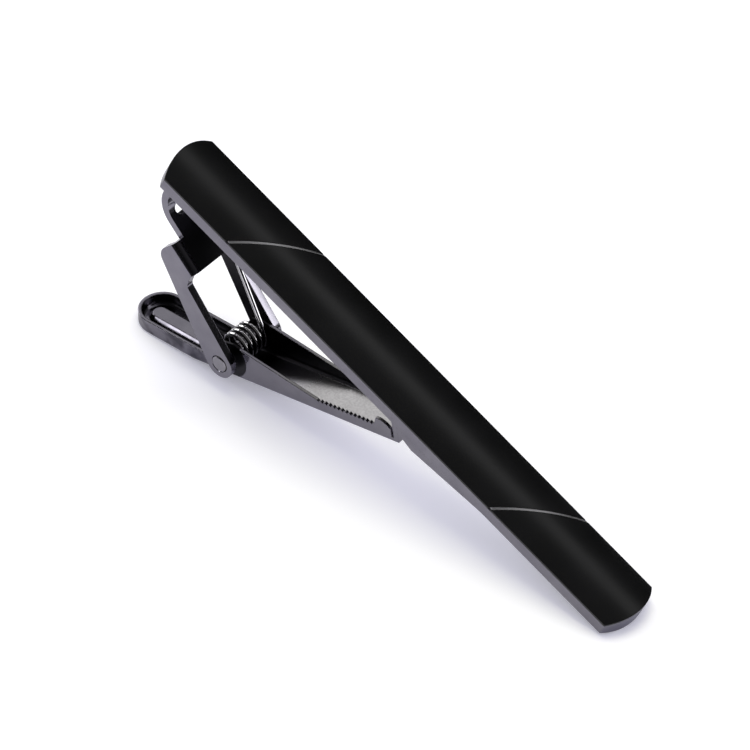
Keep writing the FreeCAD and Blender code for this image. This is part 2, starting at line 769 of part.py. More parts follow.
def make_spring():
    """The wire from its hooked end under the bracket's foot, round the pin, to its end on the tail's floor.

    It is drawn beside the level lever, so the bar is tilted by the stand's and the tail's tilt together.
    """
    radius = size("coil_radius")
    wire = size("wire_diameter")
    bend = size("leg_bend")
    tilt = math.radians(size("stand_tilt") + size("tail_tilt"))
    leg_angle = math.radians(180 - size("upper_leg_slope")) - tilt
    upper_way = FreeCAD.Vector(math.cos(leg_angle), 0, math.sin(leg_angle))
    upper_normal = FreeCAD.Vector(math.sin(leg_angle), 0, -math.cos(leg_angle))
    start_angle = math.atan2(upper_normal.z, upper_normal.x)
    part_turn = start_angle + math.pi / 2
    pitch = size("coil_pitch")
    whole_turns = int(size("coil_room") / pitch - part_turn / (2 * math.pi))
    sweep = part_turn + 2 * math.pi * whole_turns
    half_length = pitch * sweep / (4 * math.pi)

    def helix(turned):
        angle = start_angle - turned
        y = half_length - pitch * turned / (2 * math.pi)
        place = FreeCAD.Vector(radius * math.cos(angle), y, radius * math.sin(angle))
        way = FreeCAD.Vector(math.sin(angle), -pitch / (2 * math.pi * radius), -math.cos(angle))
        return place, way.normalize()

    lead_in = 3 * wire
    drift = lead_in * pitch / (4 * math.pi * radius)
    coil_top, top_way = helix(0)
    coil_end, end_way = helix(sweep)
    leg_top = coil_top + upper_way * lead_in + FreeCAD.Vector(0, drift, 0)
    lower_way = FreeCAD.Vector(-1, 0, 0)
    leg_low = coil_end + lower_way * lead_in - FreeCAD.Vector(0, drift, 0)

    up_way = FreeCAD.Vector(math.sin(tilt), 0, math.cos(tilt))
    foot_under = size("pivot_drop") - size("bracket_sheet") - size("leg_gap")
    hook = math.acos(up_way.dot(upper_way))
    hook_side = bend * math.tan(hook / 2)
    straight_end = 1.2 * wire
    to_corner = (foot_under - straight_end - hook_side - leg_top.dot(up_way)) / upper_way.dot(up_way)
    corner = leg_top + upper_way * to_corner
    hook_start = corner - upper_way * hook_side
    hook_end = corner + up_way * hook_side
    tip = hook_end + up_way * straight_end

    rise = math.radians(size("jaw_rise"))
    tail_floor = size("lever_floor") - size("tail_drop")
    jaw_floor = (size("lever_floor") - size("jaw_offset")) / math.cos(rise)
    jaw_floor -= (size("lower_leg_reach") - wire / 2) * math.tan(rise)
    floor_top = max(tail_floor, jaw_floor)
    down = FreeCAD.Vector(0, 0, -1)
    toe_corner = FreeCAD.Vector(-size("lower_leg_reach"), leg_low.y, leg_low.z)
    toe_start = toe_corner - lower_way * bend
    toe_end = toe_corner + down * bend
    toe = FreeCAD.Vector(toe_corner.x, toe_corner.y, floor_top + size("leg_gap"))

    pieces = [(tip, hook_end), arc_points(hook_end, corner, hook_start), (hook_start, leg_top)]
    pieces += biarc_points(leg_top, upper_way * -1, coil_top, top_way)
    quarters = math.ceil(sweep / (math.pi / 2))
    for quarter in range(quarters):
        begin = helix(sweep * quarter / quarters)
        finish = helix(sweep * (quarter + 1) / quarters)
        pieces += biarc_points(*begin, *finish)
    pieces += biarc_points(coil_end, end_way, leg_low, lower_way)
    pieces += [(leg_low, toe_start), arc_points(toe_start, toe_corner, toe_end), (toe_end, toe)]

    edges = []
    for points in pieces:
        curve = Part.LineSegment(*points) if len(points) == 2 else Part.Arc(*points)
        edges.append(curve.toShape())
    path = Part.Wire(edges)
    print(f"torsion_spring: least gap of the wire to itself {least_gap(edges, wire):.3f} mm")
    ring = Part.makeCircle(wire / 2, tip, up_way)
    tube = path.makePipeShell([Part.Wire([ring])], True, False)
    spring = doc.addObject("Part::Feature", "torsion_spring")
    spring.Label = "torsion_spring"
    spring.Shape = tube
    return spring


def least_gap(edges, wire):
    """Least distance between parts of the wire that lie more than three diameters apart along it."""
    stations = []
    travelled = 0.0
    for edge in edges:
        for point in edge.discretize(PATH_STEPS)[:-1]:
            if stations:
                travelled += point.distanceToPoint(stations[-1][1])
            stations.append((travelled, point))
    gaps = [
        first.distanceToPoint(second)
        for place, (begin, first) in enumerate(stations)
        for finish, second in stations[place + 1:]
        if finish - begin > 3 * wire
    ]
    return min(gaps) - wire


def stand_up(pieces):
    """Sets the clip down on its tail and the bar's right end, over the middle of its own outline."""
    tilted = FreeCAD.Rotation(FreeCAD.Vector(0, 1, 0), size("stand_tilt"))
    tail_raised = FreeCAD.Rotation(FreeCAD.Vector(0, 1, 0), -size("tail_tilt"))
    height = FreeCAD.Vector(0, 0, size("pivot_height"))

    def place_all(shift):
        for piece, frame in pieces:
            piece.Placement = FreeCAD.Placement(height + shift, tilted if frame == CARRIER else tail_raised)
        doc.recompute()

    place_all(FreeCAD.Vector())
    boxes = [piece.Shape.optimalBoundingBox() for piece, _ in pieces]
    left = min(box.XMin for box in boxes)
    right = max(box.XMax for box in boxes)
    place_all(FreeCAD.Vector(-(left + right) / 2, 0, 0))


def write_parts(pieces):
    for item in doc.Objects:
        if "Invalid" in item.State or "Error" in item.State:
            raise RuntimeError(f"{item.Label}: {item.State}")
    os.makedirs("parts", exist_ok=True)
    for piece, _ in pieces:
        shape = piece.Shape
        if shape.isNull() or not shape.isValid() or len(shape.Solids) != 1:
            raise RuntimeError(f"{piece.Label} is not one valid solid")
        shape.exportStep(f"parts/{piece.Label}.step")


fill_sheet()
assembly = [
    (make_bar_piece("front_bar"), CARRIER),
    (make_bar_piece("enamel_left", last="Sizes.left_cut", enamel=True), CARRIER),
    (make_bar_piece("enamel_centre", "Sizes.left_cut", "Sizes.right_cut", enamel=True), CARRIER),
    (make_bar_piece("enamel_right", first="Sizes.right_cut", enamel=True), CARRIER),
    (make_ramp(), CARRIER),
    (make_bracket(), CARRIER),
    (make_pin(), CARRIER),
    (make_lever(), LEVER),
    (make_spring(), LEVER),
]
stand_up(assembly)
write_parts(assembly)
pivot = assembly[-2][0].Placement.Base
print(f"pivot axis at x {pivot.x:.4f}, z {pivot.z:.4f} mm; bar tilted {size('stand_tilt'):.4f} degrees")
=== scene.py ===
import bpy
import json
import math
from mathutils import Matrix, Vector


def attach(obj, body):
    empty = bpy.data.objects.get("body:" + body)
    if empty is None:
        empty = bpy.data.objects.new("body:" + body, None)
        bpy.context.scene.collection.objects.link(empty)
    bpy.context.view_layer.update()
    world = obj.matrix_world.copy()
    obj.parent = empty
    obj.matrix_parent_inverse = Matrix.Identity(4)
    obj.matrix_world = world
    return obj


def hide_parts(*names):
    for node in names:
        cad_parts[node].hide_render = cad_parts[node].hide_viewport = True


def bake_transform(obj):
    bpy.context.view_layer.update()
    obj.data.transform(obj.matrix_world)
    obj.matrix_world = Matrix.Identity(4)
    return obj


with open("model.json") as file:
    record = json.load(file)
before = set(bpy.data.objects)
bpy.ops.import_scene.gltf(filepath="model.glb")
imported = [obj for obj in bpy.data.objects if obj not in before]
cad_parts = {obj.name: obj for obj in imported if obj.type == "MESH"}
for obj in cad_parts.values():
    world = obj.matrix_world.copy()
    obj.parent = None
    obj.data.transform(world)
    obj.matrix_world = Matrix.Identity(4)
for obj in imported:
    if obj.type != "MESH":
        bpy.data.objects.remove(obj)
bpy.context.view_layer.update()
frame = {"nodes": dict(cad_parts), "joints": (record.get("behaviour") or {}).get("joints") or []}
clip = frame["nodes"]
hinge = Vector(frame["joints"][0]["pos_m"])


# Front bar: a solid bar with a flat back and a domed front, pressed, polished and plated in dark nickel.
# Its sides and ends are bright. Its back, and each face that looks down from it, carries a painted shade,
# nearly black.
BAR_TILT = math.radians(20.5488)
BAR_DARK = (0.205, 0.196, 0.232, 1)
BAR_PALE = (0.250, 0.240, 0.276, 1)
BAR_POLISH = 0.14
BAR_EDGE = 5e-5
BACK_FACING = (0.7, 0.8)
CLOUD_SCALE = 420
CLOUD_RANGE = (0.3, 0.72)
CLOUD_DULL = 0.07
BUFFING_STRETCH = (140, 5200, 5200)
BUFFING_DULL = 0.06
BUFFING_SHARE = 0.7
PIT_SCALE = 15000
GRAIN_ROUGHNESS = 0.6
WAVE_SCALE = 330
WAVE_HEIGHT = 1.2e-5
RELIEF_HEIGHT = 1.5e-6
RELIEF_STRENGTH = 0.22
EDGE_SAMPLES = 6
# Near-black colour of the painted shade, and how much it dulls the surface.
PAINTED_SHADE_BLACK = (0.028, 0.027, 0.031, 1)
PAINTED_SHADE_DULL = 0.2


class Shade:
    """One socket of a finish: sums and products of shades become Math nodes."""

    def __init__(self, socket):
        self.socket = socket

    def node(self, kind, settings, links, out=0):
        tree = self.socket.id_data
        made = tree.nodes.new(kind)
        for name, setting in settings.items():
            setattr(made, name, setting)
        for name, value in links.items():
            if isinstance(value, Shade):
                tree.links.new(value.socket, made.inputs[name])
            else:
                made.inputs[name].default_value = value
        return Shade(made.outputs[out])

    def math(self, operation, first, second):
        return self.node("ShaderNodeMath", {"operation": operation}, {0: first, 1: second})

    def __add__(self, other):
        return self.math("ADD", self, other)

    def __mul__(self, other):
        return self.math("MULTIPLY", self, other)

    def __sub__(self, other):
        return self.math("SUBTRACT", self, other)

    def __rsub__(self, other):
        return self.math("SUBTRACT", other, self)

    __radd__ = __add__
    __rmul__ = __mul__


def start_finish(label, constants):
    """A new material: its shader, and the place of each point in the shared frame."""
    finish = bpy.data.materials.new(label)
    finish.use_nodes = True
    shader = finish.node_tree.nodes["Principled BSDF"]
    for name, value in constants.items():
        shader.inputs[name].default_value = value
    spot = finish.node_tree.nodes.new("ShaderNodeTexCoord").outputs["Object"]
    return finish, shader, Shade(spot)


def end_finish(finish, shader, tint, dull, relief):
    """Links what changes over the surface to the shader."""
    for name, shade in (("Base Color", tint), ("Roughness", dull), ("Normal", relief)):
        finish.node_tree.links.new(shade.socket, shader.inputs[name])
    return finish


def noise(place, scale, detail=2.0, roughness=0.5):
    """Soft random levels from 0 to 1, with scale of them to the metre."""
    links = {"Vector": place, "Scale": scale, "Detail": detail, "Roughness": roughness}
    return place.node("ShaderNodeTexNoise", {}, links)


def along(place, turn, stretch):
    """The place turned into a piece's own directions about the hinge, and squeezed along them."""
    links = {"Vector": place, "Location": hinge, "Rotation": (0, turn, 0)}
    own = place.node("ShaderNodeMapping", {"vector_type": "TEXTURE"}, links)
    return own.node("ShaderNodeMapping", {"vector_type": "POINT"}, {"Vector": own, "Scale": stretch})


def blend_colours(factor, first, second):
    links = {0: factor, 6: first, 7: second}
    return factor.node("ShaderNodeMix", {"data_type": "RGBA"}, links, out=2)


def between(level, low, high):
    """A level that climbs from 0 at the first value to 1 at the second."""
    return level.node("ShaderNodeMapRange", {}, {"Value": level, "From Min": low, "From Max": high})


def bump(height, strength, distance, normal):
    links = {"Height": height, "Strength": strength, "Distance": distance, "Normal": normal}
    return height.node("ShaderNodeBump", {}, links)


def soft_edges(place, radius):
    return place.node("ShaderNodeBevel", {"samples": EDGE_SAMPLES}, {"Radius": radius})


def plated(label, dark, pale, turn, polish, edge, grain=1.0, wear_and_shade=()):
    """Polished plating: cloudy tint, long buffing lines, fine pits, faint waves and slightly broken edges."""
    finish, shader, place = start_finish(label, {"Metallic": 1.0})
    cloud = noise(place, CLOUD_SCALE, detail=3.0)
    buffing = noise(along(place, turn, BUFFING_STRETCH), 1.0, detail=3.0, roughness=GRAIN_ROUGHNESS)
    pits = noise(place, PIT_SCALE, roughness=GRAIN_ROUGHNESS)
    waves = noise(place, WAVE_SCALE, detail=1.0)
    tint = blend_colours(between(cloud, *CLOUD_RANGE), dark, pale)
    dull = polish + CLOUD_DULL * cloud + BUFFING_DULL * buffing
    # Each mark given may paint shade or a reflection, or add real wear.
    for shade_or_wear_mark in wear_and_shade:
        tint, dull = shade_or_wear_mark(place, tint, dull)
    waved = bump(waves, 1.0, WAVE_HEIGHT, soft_edges(place, edge))
    height = BUFFING_SHARE * buffing + (1 - BUFFING_SHARE) * pits
    relief = bump(height, RELIEF_STRENGTH * grain, RELIEF_HEIGHT, waved)
    return end_finish(finish, shader, tint, dull, relief)


def painted_shade(mask, tint, dull):
    """Painted shade: blends the tint towards near-black, and dulls it, as far as the mask reaches."""
    return blend_colours(mask, tint, PAINTED_SHADE_BLACK), dull + PAINTED_SHADE_DULL * mask


def dot(vector, way):
    """How far a vector reaches along a direction."""
    return vector.node("ShaderNodeVectorMath", {"operation": "DOT_PRODUCT"}, {0: vector, 1: way}, out=1)


def facing(place, way):
    """How squarely a face looks along a direction, from -1 to 1."""
    return dot(Shade(place.socket.node.outputs["Normal"]), way)


def direction(angle):
    """The way that leads up from the table's +X at an angle, in the clip's upright middle plane."""
    return Vector((math.cos(angle), 0, math.sin(angle)))


bar_line = direction(-BAR_TILT)
bar_up = direction(math.pi / 2 - BAR_TILT)


def painted_shade_on_back(place, tint, dull):
    """Painted shade on the bar's back and on what else looks down from it."""
    return painted_shade(between(facing(place, -bar_up), *BACK_FACING), tint, dull)


bar_plating = plated("bar_plating", BAR_DARK, BAR_PALE, BAR_TILT, BAR_POLISH, BAR_EDGE, wear_and_shade=[painted_shade_on_back])
clip["front_bar"].material_slots[0].material = bar_plating


# Enamel: three fields of black enamel fired on the dome and polished level, parted by the slanting lines.
# The gloss is even, with the faint swell and hair-fine wipe marks of a hand-polished face.
INK_DARK = (0.0030, 0.0030, 0.0033, 1)
INK_PALE = (0.0042, 0.0042, 0.0047, 1)
ENAMEL_IOR = 1.5
ENAMEL_DULL = 0.27
ENAMEL_EDGE = 8e-5
SWELL_SCALE = 260
SWELL_RANGE = (0.35, 0.7)
SWELL_DULL = 0.04
WIPED_STRETCH = (90, 7000, 7000)
WIPED_DULL = 0.03
WIPED_SHARE = 0.5
SPECK_SCALE = 22000
ENAMEL_RELIEF = 1e-6
ENAMEL_STRENGTH = 0.1


def black_enamel():
    finish, shader, place = start_finish("black_enamel", {"IOR": ENAMEL_IOR})
    swell = noise(place, SWELL_SCALE, detail=1.0)
    wiped = noise(along(place, BAR_TILT, WIPED_STRETCH), 1.0, roughness=GRAIN_ROUGHNESS)
    specks = noise(place, SPECK_SCALE, detail=1.0)
    ink = blend_colours(between(swell, *SWELL_RANGE), INK_DARK, INK_PALE)
    dull = ENAMEL_DULL + SWELL_DULL * swell + WIPED_DULL * wiped
    height = WIPED_SHARE * wiped + (1 - WIPED_SHARE) * specks
    relief = bump(height, ENAMEL_STRENGTH, ENAMEL_RELIEF, soft_edges(place, ENAMEL_EDGE))
    return end_finish(finish, shader, ink, dull, relief)


enamel = black_enamel()
for field in ("enamel_left", "enamel_centre", "enamel_right"):
    clip[field].material_slots[0].material = enamel


# Cut lines: two bright lines cut across the enamel with a graver, down to the bar's own metal.
# Each lies just under the enamel's face, follows the dome, and ends just short of the near side.
BAR_WIDTH = 0.0067
BAR_CROWN = 0.00075
CROWN_RISE = 0.01525
CUT_SLANT = 0.0066
CUT_SUNK = 0.00005
CUT_BASE = 0.0142
CUT_HALF = 0.00013
CUT_NEAR_END = 0.0031
CUT_FAR_END = 0.00334
CUT_PLACES = {"left_cut_line": -0.00235, "right_cut_line": 0.03215}
CUT_DARK = (0.84, 0.83, 0.86, 1)
CUT_PALE = (0.97, 0.96, 0.98, 1)
CUT_POLISH = 0.46
CUT_EDGE = 3e-5
CUT_GRAIN = 2.0
DOME_SIDES = 240
DOME_LENGTH = 0.0198
DOME_SMOOTH = math.radians(30)

dome_radius = (BAR_WIDTH ** 2 / 4 + BAR_CROWN ** 2) / (2 * BAR_CROWN)
dome_centre = CROWN_RISE - dome_radius
across = Vector((0, 1, 0))
cut_side = (BAR_WIDTH * bar_line - CUT_SLANT * across).normalized()
cut_metal = plated("cut_metal", CUT_DARK, CUT_PALE, BAR_TILT, CUT_POLISH, CUT_EDGE, CUT_GRAIN)
for label, place in CUT_PLACES.items():
    middle = hinge + place * bar_line + dome_centre * bar_up
    bpy.ops.object.select_all(action="DESELECT")
    bpy.ops.mesh.primitive_cylinder_add(
        vertices=DOME_SIDES, radius=dome_radius - CUT_SUNK, depth=DOME_LENGTH,
        location=middle, rotation=(0, math.pi / 2 + BAR_TILT, 0))
    cut = bpy.context.object
    cut.name = cut.data.name = label
    bpy.ops.object.transform_apply(location=True, rotation=True, scale=True)
    bpy.ops.object.mode_set(mode="EDIT")
    for corner, way in (
        (middle + CUT_HALF * cut_side, cut_side),
        (middle - CUT_HALF * cut_side, -cut_side),
        (middle + CUT_FAR_END * across, across),
        (middle - CUT_NEAR_END * across, -across),
        (middle + (CUT_BASE - dome_centre) * bar_up, -bar_up),
    ):
        bpy.ops.mesh.select_all(action="SELECT")
        bpy.ops.mesh.bisect(plane_co=corner, plane_no=way, use_fill=True, clear_outer=True)
    bpy.ops.mesh.select_all(action="SELECT")
    bpy.ops.mesh.normals_make_consistent(inside=False)
    bpy.ops.object.mode_set(mode="OBJECT")
    bpy.ops.object.shade_smooth_by_angle(angle=DOME_SMOOTH)
    cut.data.materials.append(cut_metal)
    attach(cut, "bar")


# Jaw ramp: a thin wedge of the bar's own metal, soldered to the bar's back just past the jaw.
# It is plated with the bar, and the cloth slides up it into the jaw.
clip["jaw_ramp"].material_slots[0].material = bar_plating


# Bracket: one strip of sheet steel, folded into a foot, a post, a round bend with a slot, a web and two ears.
# It is plated after folding. The web's upper face and the ears' inner faces carry a painted shade, nearly
# black.
BRACKET_DARK = (0.224, 0.214, 0.253, 1)
BRACKET_PALE = (0.274, 0.264, 0.302, 1)
BRACKET_POLISH = 0.06
BRACKET_EDGE = 6e-5
WEB_WAY = Vector((0.676, 0, 0.737))
WEB_FACING = (0.9, 0.97)
WEB_BEND = (0.0026, 0.0028)
EAR_INSIDE = (0.0010, 0.0014)


def off_middle(place):
    """How far to the side of the clip's middle a point is, towards +Y."""
    return dot(place, across)


def looking_inwards(place):
    """How squarely a face looks across the clip to its middle, times how far off it stands."""
    return facing(place, -across) * off_middle(place)


def painted_shade_in_folds(place, tint, dull):
    """Painted shade on the web's upper face, up to its bends, and on the ears' inner faces."""
    aside = off_middle(place)
    flat = 1 - between(aside.math("ABSOLUTE", aside, 0.0), *WEB_BEND)
    web = between(facing(place, WEB_WAY), *WEB_FACING) * flat
    return painted_shade(web.math("MAXIMUM", web, between(looking_inwards(place), *EAR_INSIDE)), tint, dull)


clip["bracket"].material_slots[0].material = plated(
    "bracket_plating", BRACKET_DARK, BRACKET_PALE, BAR_TILT, BRACKET_POLISH, BRACKET_EDGE,
    wear_and_shade=[painted_shade_in_folds])


# Pivot pin: a short turned pin through both ears, spread at each end into the ear's countersink.
# The hammered ends are a shade brighter than the sheet around them.
PIN_DARK = (0.27, 0.26, 0.29, 1)
PIN_PALE = (0.34, 0.33, 0.36, 1)
PIN_POLISH = 0.12
PIN_EDGE = 5e-5
PIN_GRAIN = 1.6
clip["pivot_pin"].material_slots[0].material = plated(
    "pin_plating", PIN_DARK, PIN_PALE, 0.0, PIN_POLISH, PIN_EDGE, PIN_GRAIN)


# Clamp lever: a channel pressed from thin sheet, with a tray-shaped tail, a thumb panel and a toothed jaw.
# It is plated like the bracket. Its inner walls and the round recesses that the ears turn in carry a painted
# shade.
# Cloth rubs the jaw's floor dull, and there it is painted paler as a painted reflection; the tail's sides
# carry painted dark reflections.
LEVER_TILT = math.radians(-4.8)
LEVER_DARK = (0.200, 0.191, 0.226, 1)
LEVER_PALE = (0.246, 0.236, 0.272, 1)
LEVER_POLISH = 0.07
LEVER_EDGE = 1.6e-4
RECESS_RIM = (0.00213, 0.00221)
CHANNEL_INSIDE = (0.00015, 0.00045)
JAW_START = (0.005, 0.0085)
FLOOR_FACING = (0.95, 0.965)
# Paler scuffed colours of the jaw's floor: partly real wear, partly a painted reflection.
RUBBED_REFLECTION_DARK = (0.310, 0.302, 0.306, 1)
RUBBED_REFLECTION_PALE = (0.380, 0.372, 0.376, 1)
RUBBED_DULL = 0.16
SCUFF_SCALE = 5000
SCUFF_RANGE = (0.38, 0.62)
TAIL_START = (-0.001, -0.004)
TAIL_OUTSIDE = (-0.0002, -0.0008)
# Colour and mottling of the painted dark reflections on the tail's sides.
DARK_REFLECTION = (0.085, 0.081, 0.099, 1)
DARK_REFLECTION_SCALE = 650
DARK_REFLECTION_RANGE = (0.36, 0.58)

lever_line = direction(-LEVER_TILT)


def lever_reach(place):
    """How far a point is from the hinge towards the jaw, along the lever."""
    return dot(place, lever_line) - hinge.dot(lever_line)


def off_axis(place, middle):
    """How far a point is from the line that runs across the clip through a place."""
    flat = place.node("ShaderNodeVectorMath", {"operation": "MULTIPLY"}, {0: place, 1: (1, 0, 1)})
    links = {0: flat, 1: (middle.x, 0, middle.z)}
    return flat.node("ShaderNodeVectorMath", {"operation": "DISTANCE"}, links, out=1)


def painted_shade_in_channel(place, tint, dull):
    """Painted shade on the channel's inner walls and in the round recess that each ear turns in."""
    recess = 1 - between(off_axis(place, hinge), *RECESS_RIM)
    inside = between(looking_inwards(place), *CHANNEL_INSIDE)
    return painted_shade(recess.math("MAXIMUM", recess, inside), tint, dull)


def cloth_wear_and_reflection(place, tint, dull):
    """The jaw's floor: the cloth rubs it dull, and it is painted paler, in scuffs, as a painted reflection.
    """
    floor = between(facing(place, (0, 0, 1)), *FLOOR_FACING)
    rubbed_reflection = between(lever_reach(place), *JAW_START) * floor
    scuffs = between(noise(place, SCUFF_SCALE), *SCUFF_RANGE)
    scuffed_reflection = blend_colours(scuffs, RUBBED_REFLECTION_DARK, RUBBED_REFLECTION_PALE)
    return blend_colours(rubbed_reflection, tint, scuffed_reflection), dull + RUBBED_DULL * rubbed_reflection


def painted_dark_reflections(place, tint, dull):
    """Painted dark reflections, in mottled patches, on the outer sides of the tail."""
    sides = between(lever_reach(place), *TAIL_START) * between(looking_inwards(place), *TAIL_OUTSIDE)
    dark_reflections = between(noise(place, DARK_REFLECTION_SCALE), *DARK_REFLECTION_RANGE) * sides
    return blend_colours(dark_reflections, tint, DARK_REFLECTION), dull


clip["clamp_lever"].material_slots[0].material = plated(
    "lever_plating", LEVER_DARK, LEVER_PALE, LEVER_TILT, LEVER_POLISH, LEVER_EDGE,
    wear_and_shade=[painted_shade_in_channel, cloth_wear_and_reflection, painted_dark_reflections])


# Torsion spring: hard-drawn wire wound round the pin, one leg up to the bracket's foot and one on the tail.
# The wire is brighter than the sheet and keeps the fine lines of the die. Between its turns it carries a
# painted shade, nearly black.
WIRE = 0.00046
WIRE_DARK = (0.68, 0.67, 0.69, 1)
WIRE_PALE = (0.84, 0.83, 0.85, 1)
WIRE_POLISH = 0.0
WIRE_EDGE = 2e-5
WIRE_FLANK = (0.00150, 0.00156)
WIRE_SMOOTH = math.radians(40)
COIL_RADIUS = 0.0014
COIL_LIFT = 0.00035
COIL_HALF = 0.00141
COIL_TURNS = 4
COIL_STEPS = 129
LEG_ANGLE = math.radians(139.5) - BAR_TILT
HOOK_BEND = 0.0005
HOOK_END = 0.0005
FOOT_UNDER = 0.01225
TOE_REACH = 0.0024
TOE_DROP = 0.00075
TOE_BEND = 0.0004
BEND_STEPS = 6
RING_SIDES = 14

leg_way = direction(LEG_ANGLE)
tail_way = direction(math.pi - LEVER_TILT)
toe_way = direction(-math.pi / 2 - LEVER_TILT)
coil_side = COIL_HALF * across
coil_middle = hinge + Vector((0, 0, COIL_LIFT))
coil_start = coil_middle + COIL_RADIUS * direction(LEG_ANGLE - math.pi / 2) + coil_side
coil_turn = LEG_ANGLE - LEVER_TILT + 2 * math.pi * COIL_TURNS
coil_end = coil_middle - coil_side + COIL_RADIUS * toe_way
hook_turn = LEG_ANGLE - math.pi / 2 + BAR_TILT
hook_side = HOOK_BEND * math.tan(hook_turn / 2)
leg_rise = FOOT_UNDER - HOOK_END - hook_side - (coil_start - hinge).dot(bar_up)
hook_corner = coil_start + leg_way * (leg_rise / leg_way.dot(bar_up))
hook_foot = hook_corner + bar_up * hook_side
hook_centre = hook_foot + HOOK_BEND * bar_line
wire_tip = hook_foot + bar_up * HOOK_END
toe_run = tail_way * (TOE_REACH - TOE_BEND)
toe_centre = coil_end + toe_run + toe_way * TOE_BEND


def painted_shade_between_turns(place, tint, dull):
    """Painted shade on the inner part of the coil's wire."""
    return painted_shade(1 - between(off_axis(place, coil_middle), *WIRE_FLANK), tint, dull)


def pull_wire(shift):
    bpy.ops.mesh.extrude_region_move(TRANSFORM_OT_translate={"value": shift})


def bend_wire(angle, centre, steps, advance=0.0):
    """Carries the wire's end round a centre in steps. A positive angle is clockwise from the front."""
    for _ in range(steps):
        pull_wire((0, advance / steps, 0))
        bpy.ops.transform.rotate(value=-angle / steps, orient_axis="Y", center_override=centre)


bpy.ops.object.select_all(action="DESELECT")
bpy.ops.mesh.primitive_circle_add(vertices=RING_SIDES, radius=WIRE / 2, location=wire_tip,
                                  rotation=(0, BAR_TILT, 0))
spring = bpy.context.object
spring.name = spring.data.name = "wound_spring"
bpy.ops.object.transform_apply(location=True, rotation=True, scale=True)
bpy.ops.object.mode_set(mode="EDIT")
bpy.ops.mesh.select_all(action="SELECT")
pull_wire(hook_foot - wire_tip)
bend_wire(-hook_turn, hook_centre, BEND_STEPS)
pull_wire(coil_start - (hook_corner - leg_way * hook_side))
bend_wire(coil_turn, coil_middle, COIL_STEPS, -2 * COIL_HALF)
pull_wire(toe_run)
bend_wire(-math.pi / 2, toe_centre, BEND_STEPS)
pull_wire(toe_way * (TOE_DROP - TOE_BEND))
bpy.ops.mesh.select_all(action="DESELECT")
bpy.ops.mesh.select_non_manifold()
bpy.ops.mesh.edge_face_add()
bpy.ops.mesh.select_all(action="SELECT")
bpy.ops.mesh.normals_make_consistent(inside=False)
bpy.ops.object.mode_set(mode="OBJECT")
bpy.ops.object.shade_smooth_by_angle(angle=WIRE_SMOOTH)
spring.data.materials.append(
    plated("drawn_wire", WIRE_DARK, WIRE_PALE, 0.0, WIRE_POLISH, WIRE_EDGE, wear_and_shade=[painted_shade_between_turns]))
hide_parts("torsion_spring")
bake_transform(spring)


# Table: a plain white sheet that the clip stands on, on the end of its tail and the low end of its bar.
# It keeps the clip's soft shadow. The metal mirrors the part of it around the clip, a little dulled.
TABLE_HALF = 1.5
TABLE_WHITE = (0.94, 0.94, 0.95, 1)
SEEN_GLOW = 0.16
MIRRORED_DULL = 0.18
MIRRORED_EDGE = (0.05, 0.06)
FAR_TABLE = 0.03
bpy.ops.object.select_all(action="DESELECT")
bpy.ops.mesh.primitive_plane_add(size=2 * TABLE_HALF, location=(0, 0, 0))
table = bpy.context.object
table.name = "table"
paper = bpy.data.materials.new("white_paper")
paper.use_nodes = True
paper_tree = paper.node_tree
paper_tree.nodes.clear()
rays = paper_tree.nodes.new("ShaderNodeLightPath").outputs
spot = Shade(paper_tree.nodes.new("ShaderNodeTexCoord").outputs["Object"])
lit = spot.node("ShaderNodeBsdfDiffuse", {}, {"Color": TABLE_WHITE})
glow = spot.node("ShaderNodeEmission", {}, {"Strength": SEEN_GLOW * Shade(rays["Is Camera Ray"])})
seen = spot.node("ShaderNodeAddShader", {}, {0: lit, 1: glow})
dark = spot.node("ShaderNodeEmission", {}, {"Strength": FAR_TABLE})
mirrored = Shade(rays["Is Glossy Ray"]) + Shade(rays["Is Transmission Ray"])
away = spot.node("ShaderNodeVectorMath", {"operation": "LENGTH"}, {0: spot}, out=1)
far_off = between(away, *MIRRORED_EDGE)
dulled = (MIRRORED_DULL + (1 - MIRRORED_DULL) * far_off) * mirrored
shown = spot.node("ShaderNodeMixShader", {}, {0: dulled, 1: seen, 2: dark})
paper_tree.links.new(shown.socket, paper_tree.nodes.new("ShaderNodeOutputMaterial").inputs["Surface"])
table.data.materials.append(paper)


# Light: an even pale surround for what is matt, and a dark studio with soft bright patches for what shines.
# One long dim panel lies along the bar's crown, and a broad lamp overhead throws the shadow. Two small lamps
# brighten the far ear's cut edge and the spring's long leg.
AMBIENT = (0.72, 0.715, 0.89, 1)
WHITE = (1, 1, 1, 1)
STUDIO_FLOOR = 0.012
STUDIO_CEILING = 0.088
CEILING_RISE = (0.3, 1.0)
SHADOW_COLOUR = (1.0, 1.0, 0.55)
SMALL_SPREAD = math.radians(40)
EAR_EDGE = Vector((-0.0174, 0.0025, 0.0072))
EAR_LINE = Vector((-0.667, 0, 0.7455))
PATCHES = [
    {"way": (-0.50, 0.56, 0.66), "full": 4, "gone": 17, "strength": 0.65},
    {"way": (-0.75, 0.54, 0.38), "full": 8, "gone": 16, "strength": 1.6},
    {"way": (-0.53, -0.68, 0.505), "full": 4, "gone": 8, "strength": 4.5},
    {"way": (-0.93, 0.06, 0.36), "full": 15, "gone": 21, "strength": 3.0},
]


def soft_patch(heading, way, full, gone, strength):
    """A round patch of light: even up to one angle off its middle, and faded out at another, in degrees."""
    near = dot(heading, Vector(way).normalized())
    return strength * between(near, math.cos(math.radians(gone)), math.cos(math.radians(full)))


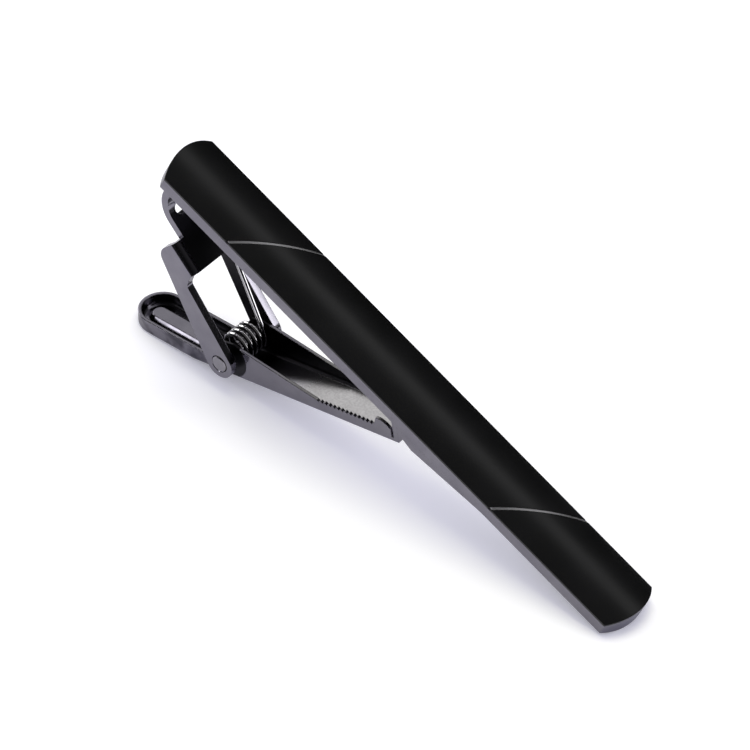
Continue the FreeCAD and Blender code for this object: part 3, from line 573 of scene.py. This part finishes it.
def soft_panel(label, way, distance, breadth, length, power, line, centre=Vector()):
    """A rectangular lamp that faces a place from one direction, its long side along a line."""
    back = Vector(way).normalized()
    side = (line - back * line.dot(back)).normalized()
    up = back.cross(side)
    lamp = bpy.data.lights.new(label, "AREA")
    lamp.shape = "RECTANGLE"
    lamp.size = length
    lamp.size_y = breadth
    lamp.energy = power
    panel = bpy.data.objects.new(label, lamp)
    bpy.context.scene.collection.objects.link(panel)
    turn = Matrix((side, up, back)).transposed().to_4x4()
    panel.matrix_world = Matrix.Translation(centre + back * distance) @ turn
    panel.visible_camera = False
    return panel


world = bpy.data.worlds.new("studio")
bpy.context.scene.world = world
world.use_nodes = True
sky = world.node_tree
sky.nodes.clear()
rays = sky.nodes.new("ShaderNodeLightPath").outputs
heading = Shade(sky.nodes.new("ShaderNodeTexCoord").outputs["Generated"])
level = STUDIO_FLOOR + STUDIO_CEILING * between(dot(heading, (0, 0, 1)), *CEILING_RISE)
for patch in PATCHES:
    level = level + soft_patch(heading, **patch)
studio = heading.node("ShaderNodeBackground", {}, {"Color": level, "Strength": 1.0})
even = heading.node("ShaderNodeBackground", {}, {"Color": AMBIENT, "Strength": 1.0})
white = heading.node("ShaderNodeBackground", {}, {"Color": WHITE, "Strength": 1.0})
matt = heading.node("ShaderNodeMixShader", {}, {0: Shade(rays["Is Diffuse Ray"]), 1: studio, 2: even})
both = heading.node("ShaderNodeMixShader", {}, {0: Shade(rays["Is Camera Ray"]), 1: matt, 2: white})
sky.links.new(both.socket, sky.nodes.new("ShaderNodeOutputWorld").inputs["Surface"])

soft_panel("crown_panel", way=(0.163, 0.474, 0.865), distance=0.6, breadth=0.19, length=0.7, power=0.25,
           line=bar_line)
shadow_lamp = soft_panel("shadow_lamp", way=(-0.02, 0.06, 1.0), distance=0.7, breadth=0.36, length=0.36,
                         power=1.4, line=Vector((1, 0, 0)))
shadow_lamp.data.color = SHADOW_COLOUR
shadow_lamp.visible_glossy = False
edge_lamp = soft_panel("edge_lamp", way=(0.754, 0.56, 0.347), distance=0.014, breadth=0.003, length=0.014,
                       power=2.3e-5, line=EAR_LINE, centre=EAR_EDGE)
leg_middle = coil_start.lerp(hook_corner, 0.5)
wire_lamp = soft_panel("wire_lamp", way=(0.586, 0.796, -0.150), distance=0.02, breadth=0.008, length=0.014,
                       power=5.5e-5, line=leg_way, centre=leg_middle)
for small_lamp in (edge_lamp, wire_lamp):
    small_lamp.data.spread = SMALL_SPREAD
    small_lamp.visible_diffuse = False


# Camera: a long lens from above the front right, rolled a little, as the clip is seen in its picture.
# Its turn is solved from the directions that the bar's length, width and height take in the picture.
LENS = 1000
SENSOR = 36
FIELD = 0.06873
SIGHT_END = 50
AIM = Vector((-0.007095, 0.006364, 0.002207))
AIM_FORWARD = 0.006
VIEW_RIGHT = Vector((0.76078, 0.64681, 0.05256))
VIEW_UP = Vector((-0.48880, 0.51741, 0.70244))
VIEW_BACK = Vector((0.42715, -0.56009, 0.70979))
aim = AIM + AIM_FORWARD * VIEW_BACK
camera = bpy.data.objects.new("camera", bpy.data.cameras.new("camera"))
bpy.context.scene.collection.objects.link(camera)
camera.data.lens = LENS
camera.data.sensor_width = SENSOR
camera.data.clip_end = SIGHT_END
view_turn = Matrix((VIEW_RIGHT, VIEW_UP, VIEW_BACK)).transposed().to_4x4()
camera.matrix_world = Matrix.Translation(aim + VIEW_BACK * FIELD * LENS / SENSOR) @ view_turn
bpy.context.scene.camera = camera
bpy.context.scene.view_settings.view_transform = "Standard"
